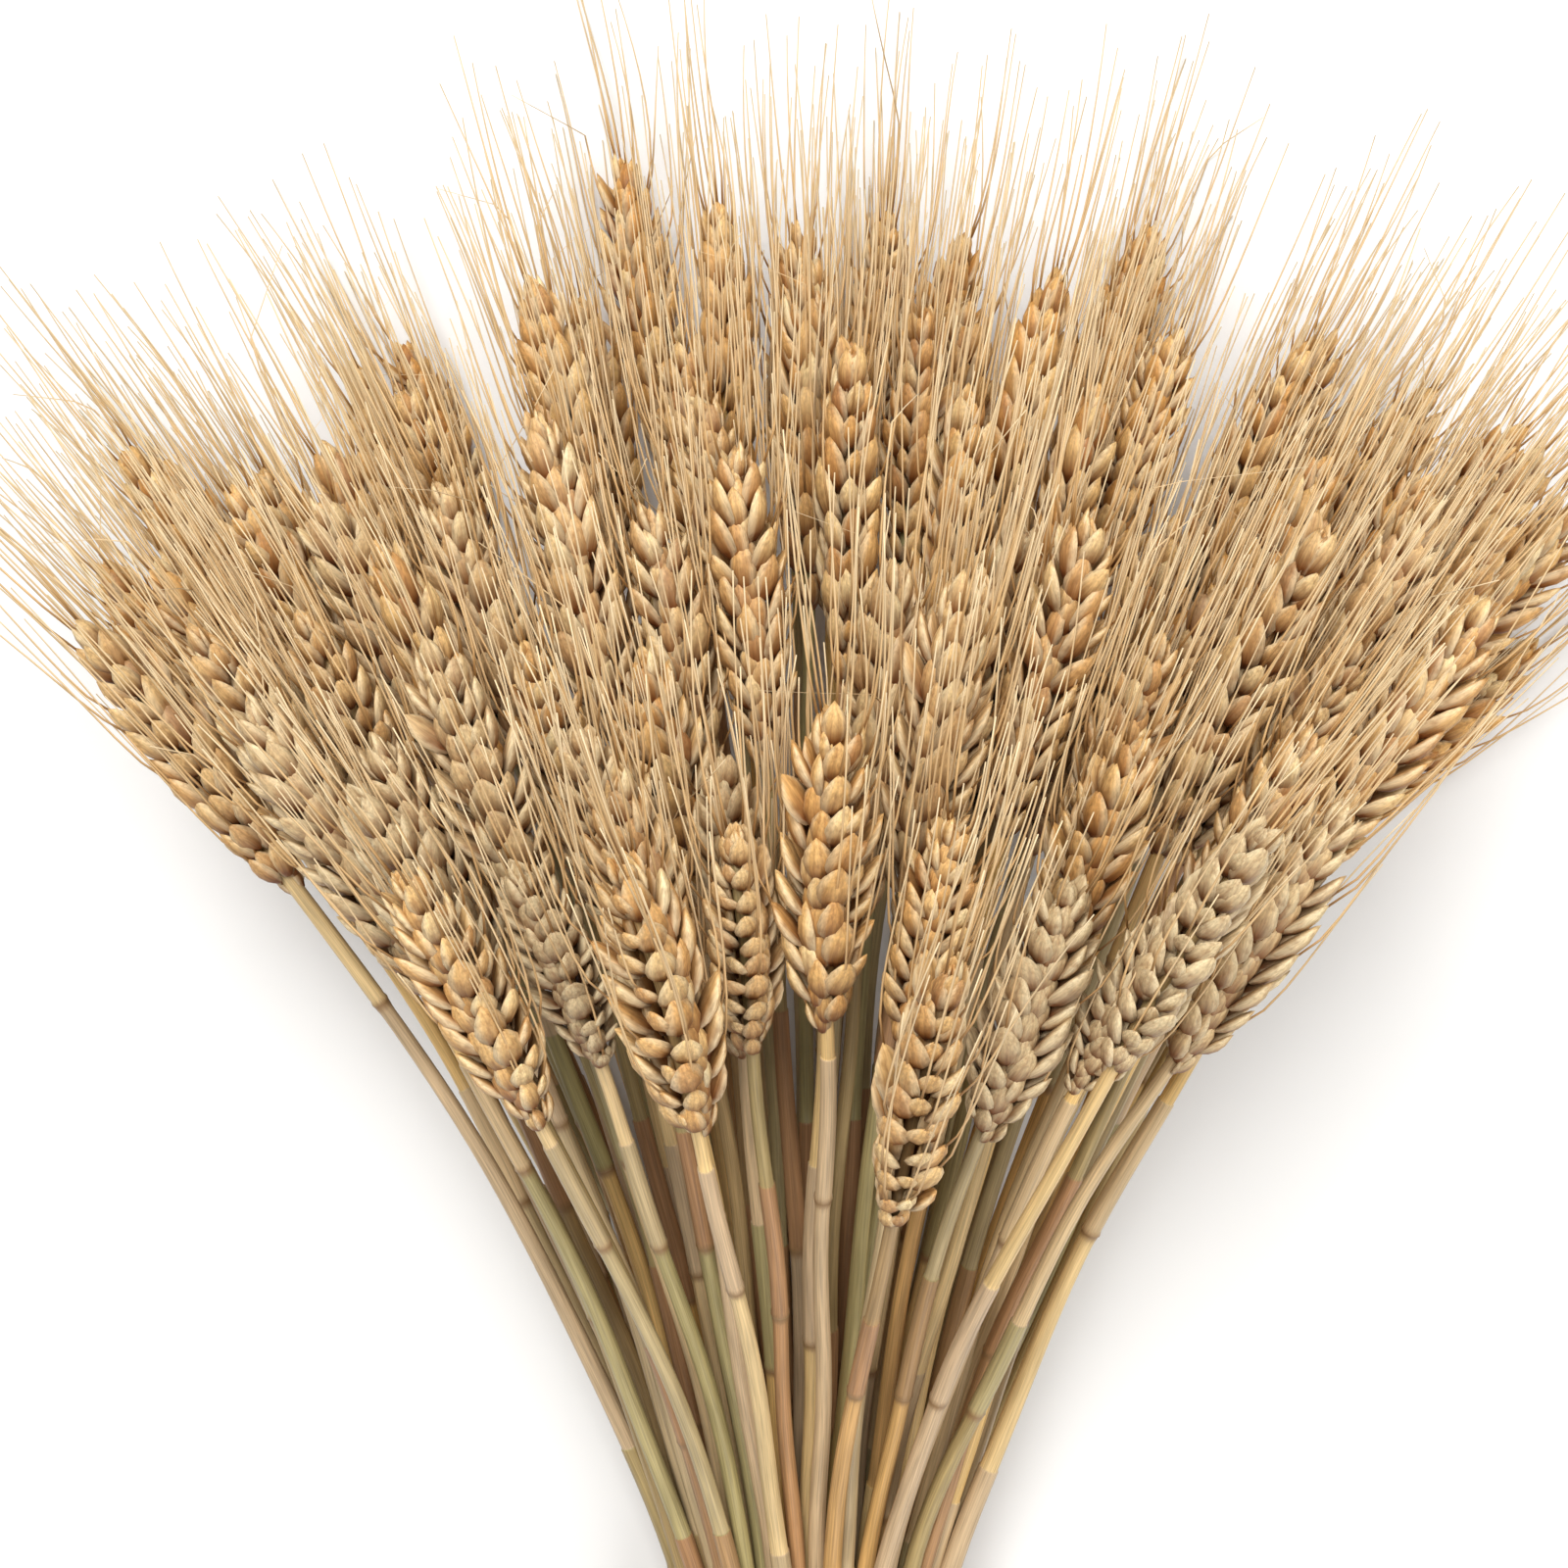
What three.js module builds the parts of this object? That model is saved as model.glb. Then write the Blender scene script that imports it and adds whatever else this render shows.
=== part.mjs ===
// A bundle of dried bearded wheat, tied with twine and lying on its side.
//
// Frame: millimetres, +Z up from the table, +Y from the cut ends towards the ears, +X across the fan.
// The origin is on the table, under the middle of the bundle's box.
//
// The stalks lie in tiers. At the tie they are packed like a lattice of round straws. Past the tie
// every tier fans out sideways and climbs just enough for its ears to lie on the ears of the tier
// below. The bottom tier is the longest and the top tier the shortest, so the ears form a dome.
// A stalk grew in one piece, so its straw, its ear and the brush of its awns are one solid.
import * as THREE from "three";

// ---- Driving dimensions -------------------------------------------------------------------------

// One stalk
const STEM_DIAMETER = 4.2;
const EAR_DIAMETER = 14;
const EAR_LENGTH = 66;
const AWN_LENGTH = 36; // how far the awns stand past the tip of the ear
const BRUSH_DIAMETER = 5.5; // the closed bunch of awns where it leaves the ear

// Clearances between neighbours
const STEM_GAP = 0.4;
const EAR_GAP = 0.5;
const TIE_GAP = 0.4;

// The fan: how many stalks each tier holds, from the table upwards. Every second place in the
// lattice is a stalk of its own here, and the places between them stay free.
const STALKS_IN_TIER = [4, 5, 6, 7, 7, 7, 7, 6, 5, 4];
const REACH = { bottom: 238, top: 97 }; // from the tie to the ears in the middle of a tier
const SIDE_REACH = { bottom: 0.84, top: 1.2 }; // what a stalk at the side reaches, as a share of that
const FAN = { bottom: 30, top: 17 }; // degrees to either side
const STRAIGHTNESS = 0.7; // share of the fan angle that a stalk has where it leaves the tie
const SAG = 0.15; // share of its height that a straw loses to its own weight
const LIFT_OFF = 20; // the length over which a straw bends from the tie into its climb

// The cut ends below the tie
const TAIL_LENGTH = 76;
const TAIL_SPREAD = 0.3; // how much wider the cut ends stand than the waist

// The twine
const TWINE_DIAMETER = 3;
const TWINE_TURNS = 5;
const WAIST_SQUARENESS = 2.3; // exponent of the waist's outline: 2 is an ellipse
const KNOT = { length: 9, width: 12, height: 6.5 };

// Natural variation, at most this much either way
const VARY = { reach: 14, angle: 1, nod: 1.2, ear: 0.07 };

// Outlines, as a share of the length and a share of the radius
const EAR_OUTLINE = [
  [0.09, 0.68],
  [0.3, 0.97],
  [0.55, 1],
  [0.82, 0.8],
];
const BRUSH_OUTLINE = [
  [0, 1],
  [0.5, 0.67],
  [1, 0.33],
];

// Facets
const STALK_SIDES = 6;
const STRAW_STEPS = 6; // from the tie to the ear
const STRAW_CROWDING = 1.5; // above 1, the steps are closer together near the tie
const TIE_SIDES = 40;
const TWINE_STEPS = 3; // over the back of one turn of twine

// ---- What follows from them ---------------------------------------------------------------------

const stemRadius = STEM_DIAMETER / 2;
const earRadius = EAR_DIAMETER / 2;
const latticeStep = STEM_DIAMETER + STEM_GAP;
const tierStep = latticeStep * Math.sin(Math.PI / 3);
const topTier = STALKS_IN_TIER.length - 1;
const bandHeight = TWINE_TURNS * TWINE_DIAMETER;
const straightLength = bandHeight / 2 + STEM_DIAMETER; // straws run parallel inside the tie
const { lerp, degToRad } = THREE.MathUtils;

// The same unevenness every time: a small linear congruential generator.
const MODULUS = 2 ** 31 - 1;
const MULTIPLIER = 16807;
let seed = 783;
function vary(most) {
  seed = (seed * MULTIPLIER) % MODULUS;
  return most * ((2 * seed) / MODULUS - 1);
}

// How high a straw of unit slope has climbed at a distance past the straight stretch.
function climb(distance) {
  const lifted = Math.hypot(distance, LIFT_OFF) - LIFT_OFF;
  return lifted * (1 - (SAG * lifted) / REACH.bottom);
}

const inTier = (range, tier) => lerp(range.bottom, range.top, tier / topTier);

// ---- The waist: where each straw passes through the tie -----------------------------------------

// Places of a tier's straws across the waist, from its middle line.
function placesInTier(tier) {
  const count = STALKS_IN_TIER[tier];
  const stagger = ((tier % 2 ? -1 : 1) * latticeStep) / 4;
  const places = [];
  for (let i = 0; i < count; i++) {
    places.push((i - (count - 1) / 2) * 2 * latticeStep + stagger);
  }
  return places;
}

const levelOf = (tier) => (tier - topTier / 2) * tierStep; // from the waist's middle

// The waist's outline: how far it is from the middle at an angle, for a half-width of 1.
const widestTier = Math.max(...STALKS_IN_TIER);
const waistAspect =
  (levelOf(topTier) + stemRadius) / ((widestTier - 1) * latticeStep + stemRadius);
function outline(angle) {
  const across = Math.abs(Math.cos(angle)) ** WAIST_SQUARENESS;
  const upward = Math.abs(Math.sin(angle) / waistAspect) ** WAIST_SQUARENESS;
  return (across + upward) ** (-1 / WAIST_SQUARENESS);
}

// The smallest such outline that clears every straw all round, facets of the tie included.
let waistHalfWidth = 0;
const clearRadius = stemRadius + TIE_GAP;
for (let tier = 0; tier <= topTier; tier++) {
  for (const place of placesInTier(tier)) {
    for (let i = 0; i < TIE_SIDES; i++) {
      const round = (2 * Math.PI * i) / TIE_SIDES;
      const across = place + clearRadius * Math.cos(round);
      const upward = levelOf(tier) + clearRadius * Math.sin(round);
      const needed = Math.hypot(across, upward) / outline(Math.atan2(upward, across));
      waistHalfWidth = Math.max(waistHalfWidth, needed);
    }
  }
}
const waistHalfHeight = waistHalfWidth * waistAspect;
const waistHeight = waistHalfHeight + TWINE_DIAMETER; // of its middle, over the table

// ---- The fan: how steeply each tier climbs ------------------------------------------------------

// The bottom tier's ears lie on the table, and each higher tier clears the ears below it.
const SLOPE_PASSES = 4; // a steeper tier needs more room straight up, so its slope is refined
const slopes = [];
for (let tier = 0; tier <= topTier; tier++) {
  if (tier === 0) {
    const leaves = waistHeight + levelOf(0);
    slopes.push((earRadius - leaves) / climb(REACH.bottom + EAR_LENGTH / 2));
    continue;
  }
  const below = slopes[tier - 1];
  const nearest = climb(inTier(REACH, tier - 1) - VARY.reach);
  let slope = below;
  for (let pass = 0; pass < SLOPE_PASSES; pass++) {
    const apart = (EAR_DIAMETER + EAR_GAP) / Math.cos(Math.atan(slope)); // measured straight up
    slope = below + (apart - tierStep) / nearest;
  }
  slopes.push(slope);
}

// ---- One stalk ----------------------------------------------------------------------------------

// The line that a stalk follows. It is told by the run along the bundle, which is 0 at the tie,
// negative towards the cut end and positive towards the ear.
class StalkLine extends THREE.Curve {
  constructor(tier, place) {
    super();
    const halfWidth = (STALKS_IN_TIER[tier] - 1) * latticeStep;
    const share = place / halfWidth;
    this.place = place;
    this.level = levelOf(tier);
    this.slope = slopes[tier];
    this.angle = degToRad(inTier(FAN, tier) * share + vary(VARY.angle));
    this.nod = degToRad(vary(VARY.nod));
    this.stretch = lerp(1, inTier(SIDE_REACH, tier), share * share);
    this.reach = (inTier(REACH, tier) + vary(VARY.reach)) * this.stretch;

    // A sloping length covers less of the run than a level one.
    const flat = Math.cos(Math.atan(this.slope));
    this.earStart = straightLength + this.reach;
    this.earEnd = this.earStart + EAR_LENGTH * (1 + vary(VARY.ear)) * flat;
    this.awnEnd = this.earEnd + AWN_LENGTH * flat;
  }

  // The curve's own parameter for a run.
  parameterAt(run) {
    return (run + TAIL_LENGTH) / (this.awnEnd + TAIL_LENGTH);
  }

  getPoint(t, target = new THREE.Vector3()) {
    const run = lerp(-TAIL_LENGTH, this.awnEnd, t);
    return run > 0 ? this.pointInFan(run, target) : this.pointInTail(-run, target);
  }

  pointInFan(run, target) {
    const distance = Math.max(run - straightLength, 0);
    const along = distance / this.reach;
    const turned = this.angle * lerp(STRAIGHTNESS, 1, along) + this.nod * along;
    return target.set(
      this.place + distance * Math.sin(turned),
      Math.min(run, straightLength) + distance * Math.cos(turned),
      waistHeight + this.level + this.slope * climb(distance / this.stretch),
    );
  }

  // Below the tie the straws part a little, and the lowest of them come down to the table.
  pointInTail(run, target) {
    const distance = Math.max(run - straightLength, 0);
    const share = distance / (TAIL_LENGTH - straightLength);
    const spread = 1 + TAIL_SPREAD * share * share;
    const bottom = lerp(waistHeight + levelOf(0), stemRadius, share * share);
    return target.set(this.place * spread, -run, bottom + (this.level - levelOf(0)) * spread);
  }
}

// A straight stalk turned round +Y, which stands for the run: straw, ear and brush of awns.
function straightStalk(line) {
  const profile = [];
  const add = (radius, run) => profile.push(new THREE.Vector2(radius, run));
  add(0, -TAIL_LENGTH);
  add(stemRadius, -TAIL_LENGTH);
  add(stemRadius, -(TAIL_LENGTH + straightLength) / 2);
  add(stemRadius, -straightLength);
  add(stemRadius, straightLength);
  for (let i = 1; i < STRAW_STEPS; i++) {
    add(stemRadius, straightLength + line.reach * (i / STRAW_STEPS) ** STRAW_CROWDING);
  }
  add(stemRadius, line.earStart);
  const thinner = 1 - Math.abs(vary(VARY.ear)); // never fatter than the tiers leave room for
  for (const [along, wide] of EAR_OUTLINE) {
    add(earRadius * thinner * wide, lerp(line.earStart, line.earEnd, along));
  }
  for (const [along, wide] of BRUSH_OUTLINE) {
    add((BRUSH_DIAMETER / 2) * wide, lerp(line.earEnd, line.awnEnd, along));
  }
  add(0, line.awnEnd);
  return new THREE.LatheGeometry(profile, STALK_SIDES);
}

// Bends a straight stalk so that it follows its line.
function bendAlong(geometry, line) {
  const up = new THREE.Vector3(0, 0, 1);
  const across = new THREE.Vector3();
  const above = new THREE.Vector3();
  const position = geometry.getAttribute("position");
  for (let i = 0; i < position.count; i++) {
    const t = line.parameterAt(position.getY(i));
    const point = line.getPoint(t);
    const along = line.getTangent(t);
    across.crossVectors(along, up).normalize();
    above.crossVectors(across, along);
    point.addScaledVector(across, position.getX(i)).addScaledVector(above, position.getZ(i));
    position.setXYZ(i, point.x, point.y, point.z);
  }
  return geometry;
}

const strawMaterial = new THREE.MeshStandardMaterial({
  color: 0xc9a873,
  roughness: 0.62,
  metalness: 0,
});

function stalk(tier, number, place) {
  const line = new StalkLine(tier, place);
  const mesh = new THREE.Mesh(bendAlong(straightStalk(line), line), strawMaterial);
  mesh.name = `stalk_tier${String(tier + 1).padStart(2, "0")}_${number + 1}`;
  return mesh;
}

// ---- The tie ------------------------------------------------------------------------------------

const twineMaterial = new THREE.MeshStandardMaterial({
  color: 0xa98455,
  roughness: 0.95,
  metalness: 0,
});

// The twine's turns side by side, as one ring round the waist.
function twineWinding() {
  const inner = waistHalfWidth;
  const profile = [new THREE.Vector2(inner, -bandHeight / 2)];
  for (let turn = 0; turn < TWINE_TURNS; turn++) {
    const middle = (turn + 0.5) * TWINE_DIAMETER - bandHeight / 2;
    for (let i = turn ? 1 : 0; i <= TWINE_STEPS; i++) {
      const swing = (Math.PI * i) / TWINE_STEPS;
      const out = (TWINE_DIAMETER / 2) * (1 + Math.sin(swing));
      profile.push(new THREE.Vector2(inner + out, middle - (TWINE_DIAMETER / 2) * Math.cos(swing)));
    }
  }
  profile.push(new THREE.Vector2(inner, bandHeight / 2));
  profile.push(profile[0].clone());
  const ring = new THREE.LatheGeometry(profile, TIE_SIDES);

  // The lathe's circle becomes the outline of the bundle, and the twine keeps its thickness.
  const position = ring.getAttribute("position");
  for (let i = 0; i < position.count; i++) {
    const x = position.getX(i);
    const z = position.getZ(i);
    const angle = Math.atan2(z, x);
    const from = waistHalfWidth * outline(angle) + Math.hypot(x, z) - inner;
    position.setXYZ(i, from * Math.cos(angle), position.getY(i), from * Math.sin(angle));
  }
  const mesh = new THREE.Mesh(ring, twineMaterial);
  mesh.name = "tie_winding";
  mesh.position.z = waistHeight;
  return mesh;
}

// The knot sits on top of the winding.
function twineKnot() {
  const mesh = new THREE.Mesh(new THREE.SphereGeometry(0.5, 12, 8), twineMaterial);
  mesh.scale.set(KNOT.width, KNOT.length, KNOT.height);
  mesh.name = "tie_knot";
  const windingTop = waistHeight + waistHalfHeight + TWINE_DIAMETER;
  mesh.position.z = windingTop + TIE_GAP + KNOT.height / 2;
  return mesh;
}

// ---- The bundle ---------------------------------------------------------------------------------

const bundle = new THREE.Group();
STALKS_IN_TIER.forEach((count, tier) => {
  placesInTier(tier).forEach((place, number) => bundle.add(stalk(tier, number, place)));
});
bundle.add(twineWinding(), twineKnot());

// The origin goes under the middle of the bundle's box, on the table.
const box = new THREE.Box3().setFromObject(bundle, true);
const middle = box.getCenter(new THREE.Vector3());
for (const piece of bundle.children) {
  piece.position.x -= middle.x;
  piece.position.y -= middle.y;
  piece.position.z -= box.min.z;
}

export default bundle;
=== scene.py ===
import bmesh
import bpy
import math
import random
from mathutils import Matrix, Vector
import numpy as np


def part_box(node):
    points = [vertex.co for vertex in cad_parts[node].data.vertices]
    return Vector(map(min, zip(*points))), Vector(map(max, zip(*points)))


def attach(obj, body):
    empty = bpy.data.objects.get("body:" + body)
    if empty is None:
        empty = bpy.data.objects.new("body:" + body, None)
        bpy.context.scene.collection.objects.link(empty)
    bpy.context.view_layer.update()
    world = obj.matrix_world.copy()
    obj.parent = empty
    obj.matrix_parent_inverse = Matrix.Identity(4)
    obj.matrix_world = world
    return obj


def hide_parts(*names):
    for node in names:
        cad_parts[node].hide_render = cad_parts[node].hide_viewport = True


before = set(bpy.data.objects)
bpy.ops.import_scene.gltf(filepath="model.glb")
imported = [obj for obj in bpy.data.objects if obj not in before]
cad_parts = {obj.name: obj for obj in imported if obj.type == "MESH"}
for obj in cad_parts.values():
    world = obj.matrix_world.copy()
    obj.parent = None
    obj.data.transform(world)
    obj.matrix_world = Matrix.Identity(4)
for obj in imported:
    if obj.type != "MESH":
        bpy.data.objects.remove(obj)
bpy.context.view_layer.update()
MM = 0.001

# ---- Camera -------------------------------------------------------------------------------------
# The bundle lies on its side, so the camera looks straight down on it. The twine is just below
# the picture's lower edge, and the ears fill the picture.
CAMERA_HEIGHT = 480 * MM  # over the table
CAMERA_ANGLE = 40  # degrees across the picture
TIE_LEFT_OF_MIDDLE = -6 * MM
TIE_BELOW_MIDDLE = 176 * MM

tie_low, tie_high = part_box("tie_winding")
tie = (tie_low + tie_high) / 2
lens = bpy.data.cameras.new("camera")
lens.angle = math.radians(CAMERA_ANGLE)
camera = bpy.data.objects.new("camera", lens)
camera.location = (tie.x + TIE_LEFT_OF_MIDDLE, tie.y + TIE_BELOW_MIDDLE, CAMERA_HEIGHT)
bpy.context.scene.collection.objects.link(camera)
bpy.context.scene.camera = camera
bpy.context.scene.view_settings.view_transform = "Standard"


# ---- Floor and light ----------------------------------------------------------------------------
# A plain pale floor, lit as in a small studio: a wide soft light over the ears, a weaker one from
# the right, a low one towards the cut ends, and a white room.
FLOOR_SIZE = 8.0  # metres
FLOOR_COLOUR = "#E8E7E5"
ROOM_STRENGTH = 0.29
LIGHTS = {  # place and size in metres, watts
    "key_light": ((-0.28, 0.5, 1.3), 0.75, 20.5),
    "fill_light": ((0.7, -0.1, 1.1), 0.9, 8),
    "low_light": ((0.2, -1.2, 0.45), 0.7, 4),
}


def linear(colour):
    """The linear colour, with alpha, of an sRGB hex value."""
    channels = []
    for start in (1, 3, 5):
        value = int(colour[start:start + 2], 16) / 255
        channels.append(value / 12.92 if value <= 0.04045 else ((value + 0.055) / 1.055) ** 2.4)
    return (*channels, 1.0)


def node(tree, kind, inputs=None, stops=(), **settings):
    """Adds a node to a material, with its settings, its inputs' values or links, and its stops."""
    made = tree.nodes.new("ShaderNode" + kind)
    for name, value in settings.items():
        setattr(made, name, value)
    for socket, value in (inputs or {}).items():
        if isinstance(value, bpy.types.NodeSocket):
            tree.links.new(value, made.inputs[socket])
        else:
            made.inputs[socket].default_value = value
    for number, (place, colour) in enumerate(stops):
        made_stops = made.color_ramp.elements  # which come with a stop at 0 and one at 1
        if number and place < 1:
            made_stops.new(place).color = linear(colour)
        else:
            made_stops[-1 if number else 0].color = linear(colour)
    return made


def material(name):
    """A new material with nothing but its output and its shader."""
    made = bpy.data.materials.new(name)
    made.use_nodes = True
    made.node_tree.nodes.clear()
    return made


def surface(tree, inputs):
    """Ends a material with its shader, given the shader's inputs."""
    shader = node(tree, "BsdfPrincipled", inputs)
    node(tree, "OutputMaterial", {"Surface": shader.outputs["BSDF"]})


def ranged(tree, value, start, end):
    """A value in the range start, moved to the range end and kept inside it."""
    moved = node(tree, "MapRange", {"Value": value, "From Min": start[0], "From Max": start[1],
                                    "To Min": end[0], "To Max": end[1]})
    return moved.outputs["Result"]


def show(name, mesh):
    """A new object for a mesh, at the origin."""
    made = bpy.data.objects.new(name, mesh)
    bpy.context.scene.collection.objects.link(made)
    return made


def painted_floor():
    """A matt painted board: a barely uneven white, with no gloss."""
    made = material("painted_floor")
    tree = made.node_tree
    place = node(tree, "TexCoord").outputs["Object"]
    cloud = node(tree, "TexNoise", {"Vector": place, "Scale": 3.0, "Detail": 2.0})
    surface(tree, {
        "Base Color": linear(FLOOR_COLOUR),
        "Roughness": ranged(tree, cloud.outputs["Fac"], (0, 1), (0.7, 0.85)),
        "Specular IOR Level": 0.2,
    })
    return made


bm = bmesh.new()
bmesh.ops.create_grid(bm, x_segments=1, y_segments=1, size=FLOOR_SIZE / 2)
floor_mesh = bpy.data.meshes.new("floor")
bm.to_mesh(floor_mesh)
bm.free()
floor_mesh.materials.append(painted_floor())
show("floor", floor_mesh)

for name, (place, size, watts) in LIGHTS.items():
    lamp = bpy.data.lights.new(name, "AREA")
    lamp.size = size
    lamp.energy = watts
    light = bpy.data.objects.new(name, lamp)
    light.location = place
    light.rotation_euler = (-Vector(place)).to_track_quat("-Z", "Y").to_euler()
    bpy.context.scene.collection.objects.link(light)

room = bpy.data.worlds.new("room")
room.use_nodes = True
room.node_tree.nodes["Background"].inputs["Color"].default_value = linear("#FFFFFF")
room.node_tree.nodes["Background"].inputs["Strength"].default_value = ROOM_STRENGTH
bpy.context.scene.world = room


# ---- Where each stalk lies ----------------------------------------------------------------------
# Every stalk is first made straight along +Y, from its cut end, and then bent along the line of
# its CAD stalk, as a straw bends in the bunch. Between most neighbours of a tier lies one more
# stalk that CAD leaves out, on the line halfway between theirs.
LINE_STEP = 2 * MM
UP = Vector((0, 0, 1))
CAD_SIDES = 6  # of the CAD stalks
WELD = 0.01 * MM  # how near each other points count as one


class Line:
    """A smooth line through points, with a frame at every step: along, across and above."""

    def __init__(self, points, up=UP):
        points = np.array(points, float)
        chords = np.linalg.norm(np.diff(points, axis=0), axis=1)
        at = np.concatenate([[0], np.cumsum(chords)])
        slopes = np.gradient(points, at, axis=0)
        fine = np.linspace(0, at[-1], int(at[-1] / LINE_STEP) + 2)
        part = np.clip(np.searchsorted(at, fine) - 1, 0, len(at) - 2)
        span = (at[part + 1] - at[part])[:, None]
        t = (fine - at[part])[:, None] / span
        # Cubic Hermite between the two points on either side
        self.points = (
            (2 * t ** 3 - 3 * t ** 2 + 1) * points[part]
            + (t ** 3 - 2 * t ** 2 + t) * span * slopes[part]
            + (3 * t ** 2 - 2 * t ** 3) * points[part + 1]
            + (t ** 3 - t ** 2) * span * slopes[part + 1]
        )
        self.marks = at
        self.finish(up)

    def finish(self, up=UP):
        """Works out the lengths and the frames from the points."""
        steps = np.linalg.norm(np.diff(self.points, axis=0), axis=1)
        self.at = np.concatenate([[0], np.cumsum(steps)])
        self.along = unit(np.gradient(self.points, self.at, axis=0))
        self.across = unit(np.cross(self.along, np.array(up)))
        self.above = np.cross(self.across, self.along)

    def sample(self, values, at):
        """The line's points or directions at any lengths along it."""
        return np.stack([np.interp(at, self.at, values[:, axis]) for axis in range(3)], axis=1)

    def bend(self, straight):
        """Moves points from round the +Y axis to round the line. Past its end the line is straight."""
        at = straight[:, 1]
        beyond = np.maximum(at - self.at[-1], 0)[:, None] + np.minimum(at, 0)[:, None]
        return (
            self.sample(self.points, at)
            + beyond * self.sample(self.along, at)
            + straight[:, :1] * self.sample(self.across, at)
            + straight[:, 2:] * self.sample(self.above, at)
        )


def unit(vectors):
    """The vectors in the rows of an array, each made one unit long."""
    return vectors / np.linalg.norm(vectors, axis=1, keepdims=True)


def rings_of(cad_stalk):
    """The rings of a CAD stalk from its cut end to the tip of its awns: (x, y, z, radius) each."""
    bm = bmesh.new()
    bm.from_mesh(cad_stalk.data)
    bmesh.ops.remove_doubles(bm, verts=bm.verts, dist=WELD)
    # The cut end's ring and its middle
    lowest = sorted(bm.verts, key=lambda vert: vert.co.y)[:CAD_SIDES + 1]
    middle = sum((vert.co for vert in lowest), Vector()) / len(lowest)
    ring = [min(lowest, key=lambda vert: (vert.co - middle).length)]
    seen = set(ring)
    rings = []
    while ring:
        centre = sum((vert.co for vert in ring), Vector()) / len(ring)
        rings.append((*centre, (ring[0].co - centre).length))
        ring = {edge.other_vert(vert) for vert in ring for edge in vert.link_edges} - seen
        ring = sorted(ring, key=lambda vert: vert.index)
        seen.update(ring)
    bm.free()
    return np.array(rings[1:-1])


stalk_rings = {
    name: rings_of(cad) for name, cad in sorted(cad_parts.items()) if name.startswith("stalk")
}


# ---- Straw --------------------------------------------------------------------------------------
# The stem of dry wheat is a hollow straw with a solid joint every hand's breadth. From each joint
# a leaf sheath wraps the straw for a stretch, duller than the straw, and ends in a torn edge.
STRAW_SIDES = 10
STRAW_STEP = 7 * MM
NECK_RADIUS = 1.25 * MM  # just under the ear
RACHIS_RADIUS = 1.3 * MM  # inside the ear
BORE_SHARE = 0.55  # of the straw's width, at its cut end
BORE_DEPTH = 9 * MM
JOINT_PLACES = ((0.12, 0.3), (0.42, 0.95))  # between which shares of the straw each joint is
JOINT_SWELL = 0.2 * MM
JOINT_GROOVE = 0.12 * MM  # round the straw just above the joint
JOINT_LENGTH = 2.6 * MM
JOINT_RINGS = (-1, -0.6, -0.25, 0, 0.25, 0.6, 1)  # in joint lengths from its middle
SHEATH_LENGTHS = (0.1, 0.2)  # as shares of the straw
SHEATH_THICKNESS = 0.22 * MM
SHEATH_DULLER = 0.25  # than its straw, as a share of the straw colours below
TORN_EDGE = (-0.3 * MM, 0, 0.35 * MM)
STRAW_COLOURS = ((0.0, "#AB8057"), (0.2, "#A79A66"), (0.4, "#C6A985"), (0.6, "#DCBE88"),
                 (0.8, "#E3B76C"), (1.0, "#B88A5C"))
JOINT_COLOUR_AND_BORE_SHADE = "#8A6A45"
STREAK_WIDTH, STREAK_LENGTH = 0.28, 16  # millimetres
PATCH_WIDTH, PATCH_LENGTH = 2.5, 22  # millimetres


def attribute(tree, name, output):
    """What a mesh says about its own surface, for its material to read."""
    return node(tree, "Attribute", attribute_name=name).outputs[output]


def grain(tree, width, length):
    """Noise drawn out along a straw, a husk or a hair, with streaks of a width and a length in mm."""
    scale = (1 / (width * MM), 1 / (length * MM), 1 / (width * MM))
    place = node(tree, "Mapping", {"Vector": attribute(tree, "grain", "Vector"), "Scale": scale})
    noise = node(tree, "TexNoise", {"Vector": place.outputs["Vector"], "Scale": 1.0, "Detail": 3.0})
    return noise.outputs["Fac"]


def ramp(tree, name, colours):
    """The colour that a surface has where its attribute of this name goes from 0 to 1."""
    return node(tree, "ValToRGB", {"Fac": attribute(tree, name, "Fac")}, colours).outputs["Color"]


def mixed(tree, share, base, other):
    """A base colour turned by a share, from 0 to 1, to another colour."""
    return node(tree, "Mix", {0: share, 6: base, 7: other}, data_type="RGBA").outputs[2]


def shaded(tree, colour, fibres, darkest, brightest):
    """A colour made darker and brighter from fibre to fibre."""
    shade = ranged(tree, fibres, (0.3, 0.7), (darkest, brightest))
    scaled = node(tree, "VectorMath", {0: colour, "Scale": shade}, operation="SCALE")
    return scaled.outputs["Vector"]


def dry_straw():
    """Dry wheat straw: a silky skin of long fibres, so it shines a little along its length."""
    made = material("dry_straw")
    tree = made.node_tree
    fibres = grain(tree, STREAK_WIDTH, STREAK_LENGTH)
    patches = grain(tree, PATCH_WIDTH, PATCH_LENGTH)
    streaked = shaded(tree, ramp(tree, "tone", STRAW_COLOURS), fibres, 0.66, 1.14)
    patched = shaded(tree, streaked, patches, 0.84, 1.08)
    ridges = node(tree, "Bump", {"Height": fibres, "Strength": 0.35, "Distance": 0.12 * MM})
    surface(tree, {
        # The dark joint colour also stands as painted shade at the bottom of the hollow at the cut
        # end.
        "Base Color": mixed(tree, attribute(tree, "along", "Fac"), patched, linear(JOINT_COLOUR_AND_BORE_SHADE)),
        "Roughness": ranged(tree, patches, (0, 1), (0.38, 0.58)),
        "Specular IOR Level": 0.45,
        "Normal": ridges.outputs["Normal"],
    })
    return made


def new_plant():
    """An empty mesh with what the materials read: the place in the straight part, the part's tone,
    how far along it is, from 0 to 1, and how far to its side, from -1 to 1."""
    bm = bmesh.new()
    bm.verts.layers.float_vector.new("grain")
    for name in ("tone", "along", "aside"):
        bm.verts.layers.float.new(name)
    return bm


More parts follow.
